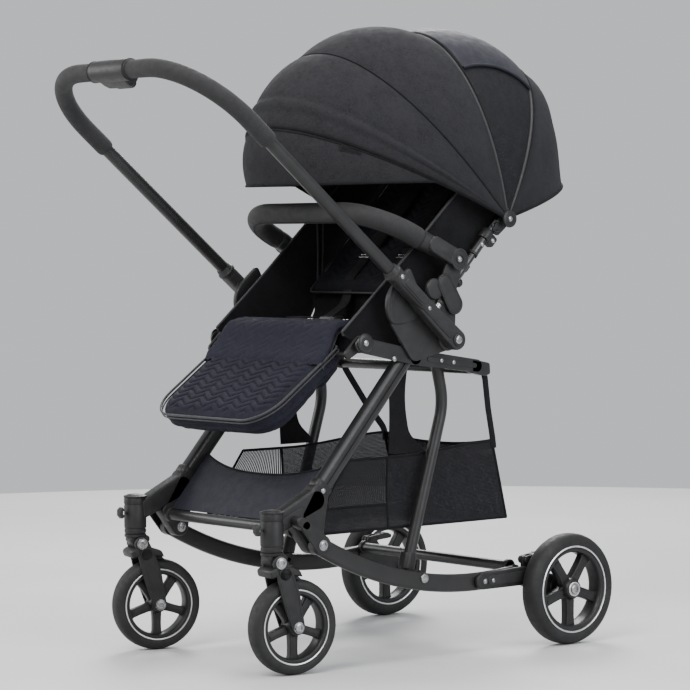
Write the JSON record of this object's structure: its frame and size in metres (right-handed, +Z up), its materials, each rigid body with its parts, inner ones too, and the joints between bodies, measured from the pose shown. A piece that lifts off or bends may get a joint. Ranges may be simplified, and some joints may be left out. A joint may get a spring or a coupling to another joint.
{
  "type": "baby stroller",
  "caption": "Folding four-wheel baby stroller with rocker rails, swivel casters, flip-over handle, reclining seat, ribbed canopy, quilted leg rest and mesh basket.",
  "frame": {"origin": "on the floor under the middle of the stroller's length and width", "axes": "-Y is the front, +X is the child's left, +Z is up"},
  "size_m": [0.533, 0.9365, 1.0667],
  "materials": {
    "frame_paint": "satin black powder coat",
    "moulding": "fine-grained black moulding",
    "soft_moulding": "charcoal moulding",
    "steel": "satin steel",
    "wheel": "black nylon",
    "tyre": "matte foam rubber",
    "foam": "matte foam grip",
    "canopy_cloth": "heathered charcoal cloth",
    "seat_cloth": "dark cloth",
    "navy_cloth": "navy-black coated cloth",
    "webbing": "woven nylon webbing"
  },
  "bodies": {
    "root": {"rail_left": "frame_paint", "rail_right": "frame_paint", "rear_bracket_left": "moulding", "rear_bracket_right": "moulding", "rear_cross_tube": "frame_paint", "basket": "navy_cloth", "rear_axle_bolts": "steel", "chassis_rivets": "steel"},
    "front_frame": {"front_bracket_left": "moulding", "front_bracket_right": "moulding", "front_leg_left": "frame_paint", "front_leg_right": "frame_paint", "front_cross_tube": "frame_paint", "leg_rivets": "steel"},
    "rear_legs": {"rear_leg_left": "frame_paint", "rear_leg_right": "frame_paint"},
    "seat": {"hub_left": "soft_moulding", "hub_right": "soft_moulding", "hub_caps": "soft_moulding", "seat_frame": "frame_paint", "seat_cushion": "seat_cloth", "side_panels": "seat_cloth", "harness": "webbing"},
    "handle": {"handle_tube": "frame_paint", "handle_grips": "foam", "handle_console": "soft_moulding", "handle_bracket_left": "soft_moulding", "handle_bracket_right": "soft_moulding"},
    "fold_slider": {"fold_slider": "soft_moulding"},
    "fold_trigger": {"fold_trigger": "soft_moulding"},
    "backrest": {"backrest_frame": "steel", "backrest_pad": "seat_cloth", "canopy_rear": "canopy_cloth"},
    "recline_lever": {"recline_lever": "moulding"},
    "canopy_c": {"canopy_middle": "canopy_cloth"},
    "canopy_b": {"canopy_front": "canopy_cloth"},
    "canopy_a": {"canopy_visor": "canopy_cloth"},
    "bumper": {"bumper_bar": "soft_moulding", "bumper_foam": "foam"},
    "legrest": {"legrest_frame": "moulding", "legrest_pad": "navy_cloth"},
    "rear_wheel_left": {"rear_wheel_left": "wheel", "rear_tyre_left": "tyre"},
    "front_wheel_left": {"front_wheel_left": "wheel", "front_tyre_left": "tyre"},
    "brake_pedal_left": {"brake_pedal_left": "moulding"},
    "swivel_lock_left": {"swivel_lock_left": "moulding"},
    "caster_head_left": {"caster_head_left": "moulding"},
    "caster_fork_left": {"caster_fork_left": "moulding"},
    "handle_release_left": {"handle_release_left": "soft_moulding"},
    "rear_wheel_right": {"rear_wheel_right": "wheel", "rear_tyre_right": "tyre"},
    "front_wheel_right": {"front_wheel_right": "wheel", "front_tyre_right": "tyre"},
    "brake_pedal_right": {"brake_pedal_right": "moulding"},
    "swivel_lock_right": {"swivel_lock_right": "moulding"},
    "caster_head_right": {"caster_head_right": "moulding"},
    "caster_fork_right": {"caster_fork_right": "moulding"},
    "handle_release_right": {"handle_release_right": "soft_moulding"}
  },
  "joints": [
    {"name": "fold", "type": "hinge", "parent": "root", "child": "front_frame", "pos_m": [0, -0.2016, 0.206], "axis": [1, 0, 0], "range_deg": [-28, 0], "deforming": ["basket"]},
    {"name": "rear_leg_fold", "type": "hinge", "parent": "root", "child": "rear_legs", "pos_m": [0, 0.0154, 0.134], "axis": [1, 0, 0], "range_deg": [-33.8, 0]},
    {"name": "seat_level", "type": "hinge", "parent": "front_frame", "child": "seat", "pos_m": [0, 0.0074, 0.509], "axis": [1, 0, 0], "range_deg": [0, 28.2]},
    {"name": "handle_flip", "type": "hinge", "parent": "seat", "child": "handle", "pos_m": [0, 0.0744, 0.528], "axis": [1, 0, 0], "range_deg": [-95, 0]},
    {"name": "fold_slider_slide", "type": "slide", "parent": "handle", "child": "fold_slider", "axis": [-1, 0, 0], "range_m": [0, 0.014], "stiffness_N_per_m": 200, "springref_m": -0.004},
    {"name": "fold_trigger_squeeze", "type": "slide", "parent": "handle", "child": "fold_trigger", "axis": [0, -0.766, 0.6428], "range_m": [0, 0.006], "stiffness_N_per_m": 400, "springref_m": -0.004},
    {"name": "backrest_recline", "type": "hinge", "parent": "seat", "child": "backrest", "pos_m": [0, 0.0714, 0.585], "axis": [1, 0, 0], "range_deg": [-34, 10]},
    {"name": "recline_lever_pull", "type": "slide", "parent": "backrest", "child": "recline_lever", "axis": [0, 0.6871, 0.7266], "range_m": [0, 0.008], "stiffness_N_per_m": 400, "springref_m": -0.004},
    {"name": "canopy_fold", "type": "hinge", "parent": "canopy_b", "child": "canopy_a", "pos_m": [0, 0.2164, 0.728], "axis": [1, 0, 0], "range_deg": [-27, 0]},
    {"name": "canopy_second_rib", "type": "hinge", "parent": "canopy_c", "child": "canopy_b", "pos_m": [0, 0.2164, 0.728], "axis": [1, 0, 0], "range_deg": [-27.2, 0]},
    {"name": "canopy_third_rib", "type": "hinge", "parent": "backrest", "child": "canopy_c", "pos_m": [0, 0.2164, 0.728], "axis": [1, 0, 0], "range_deg": [-30.2, 0]},
    {"name": "bumper_swing", "type": "hinge", "parent": "seat", "child": "bumper", "pos_m": [0, 0.0994, 0.661], "axis": [1, 0, 0], "range_deg": [-8, 10]},
    {"name": "legrest_tilt", "type": "hinge", "parent": "seat", "child": "legrest", "pos_m": [0, -0.0976, 0.527], "axis": [1, 0, 0], "range_deg": [-36, 18]},
    {"name": "rear_wheel_left_spin", "type": "hinge", "parent": "root", "child": "rear_wheel_left", "pos_m": [0.2445, 0.3114, 0.095], "axis": [1, 0, 0], "continuous": true},
    {"name": "brake_left", "type": "hinge", "parent": "root", "child": "brake_pedal_left", "pos_m": [0.21, 0.2434, 0.147], "axis": [1, 0, 0], "range_deg": [-12, 0]},
    {"name": "caster_left_swivel", "type": "hinge", "parent": "front_frame", "child": "caster_head_left", "pos_m": [0.19, -0.2846, 0.23], "axis": [0, 0, 1], "continuous": true},
    {"name": "suspension_left", "type": "hinge", "parent": "caster_head_left", "child": "caster_fork_left", "pos_m": [0.19049, -0.28063, 0.183], "axis": [0.9925, -0.1219, 0], "range_deg": [0, 5], "stiffness_Nm_per_rad": 60, "springref_deg": -3.44},
    {"name": "front_wheel_left_spin", "type": "hinge", "parent": "caster_fork_left", "child": "front_wheel_left", "pos_m": [0.19439, -0.24887, 0.0775], "axis": [0.9925, -0.1219, 0], "continuous": true},
    {"name": "swivel_lock_left_slide", "type": "slide", "parent": "front_frame", "child": "swivel_lock_left", "axis": [0, 0, 1], "range_m": [-0.006, 0]},
    {"name": "handle_release_left_pull", "type": "slide", "parent": "handle", "child": "handle_release_left", "axis": [0, -0.766, 0.6428], "range_m": [0, 0.008], "stiffness_N_per_m": 400, "springref_m": -0.004},
    {"name": "rear_wheel_right_spin", "type": "hinge", "parent": "root", "child": "rear_wheel_right", "pos_m": [-0.2445, 0.3114, 0.095], "axis": [1, 0, 0], "continuous": true},
    {"name": "brake_right", "type": "hinge", "parent": "root", "child": "brake_pedal_right", "pos_m": [-0.21, 0.2434, 0.147], "axis": [1, 0, 0], "range_deg": [-12, 0]},
    {"name": "caster_right_swivel", "type": "hinge", "parent": "front_frame", "child": "caster_head_right", "pos_m": [-0.19, -0.2846, 0.23], "axis": [0, 0, 1], "continuous": true},
    {"name": "suspension_right", "type": "hinge", "parent": "caster_head_right", "child": "caster_fork_right", "pos_m": [-0.18903, -0.28072, 0.183], "axis": [0.9703, -0.2419, 0], "range_deg": [0, 5], "stiffness_Nm_per_rad": 60, "springref_deg": -3.44},
    {"name": "front_wheel_right_spin", "type": "hinge", "parent": "caster_fork_right", "child": "front_wheel_right", "pos_m": [-0.18129, -0.24967, 0.0775], "axis": [0.9703, -0.2419, 0], "continuous": true},
    {"name": "swivel_lock_right_slide", "type": "slide", "parent": "front_frame", "child": "swivel_lock_right", "axis": [0, 0, 1], "range_m": [-0.006, 0]},
    {"name": "handle_release_right_pull", "type": "slide", "parent": "handle", "child": "handle_release_right", "axis": [0, -0.766, 0.6428], "range_m": [0, 0.008], "stiffness_N_per_m": 400, "springref_m": -0.004}
  ],
  "couplings": [
    {"joint": "rear_leg_fold", "follows": "fold", "ratio": 1.2},
    {"joint": "seat_level", "follows": "fold", "ratio": -1},
    {"joint": "canopy_second_rib", "follows": "canopy_fold", "ratio": 1},
    {"joint": "canopy_third_rib", "follows": "canopy_fold", "ratio": 1.11}
  ]
}
